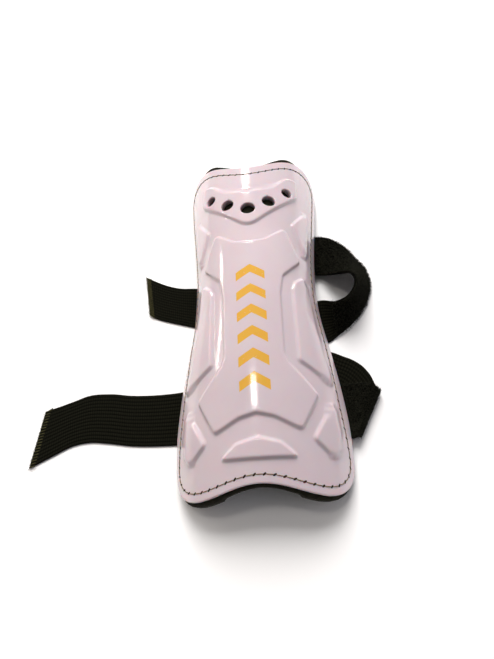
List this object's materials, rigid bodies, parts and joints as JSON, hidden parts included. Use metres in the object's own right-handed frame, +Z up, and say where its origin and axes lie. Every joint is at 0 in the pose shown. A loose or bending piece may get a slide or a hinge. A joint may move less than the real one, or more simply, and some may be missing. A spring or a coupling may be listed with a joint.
{
  "type": "soccer shin guard",
  "caption": "Arched hard-shell shin guard on a foam pad, vented at its narrow end, with elastic straps that loop out at the right and end free at the left.",
  "frame": {"origin": "middle of the base of the whole assembly's box; the guard's own crown line is parallel to Y at x = 0.0305", "axes": "+Y towards the narrow, vented end, +X towards the looped side of the straps, +Z up from the ground"},
  "size_m": [0.2, 0.2128, 0.0419],
  "materials": {
    "shell": "gloss moulded, white with a faint pink cast",
    "foam": "matt closed-cell foam",
    "elastic": "ribbed elastic webbing with a brushed face",
    "hook": "matt hook tape"
  },
  "bodies": {
    "root": {"shell": "shell", "foam_pad": "foam", "upper_strap": "elastic", "lower_strap": "elastic", "upper_hook_tab": "hook", "lower_hook_tab": "hook"}
  },
  "joints": []
}
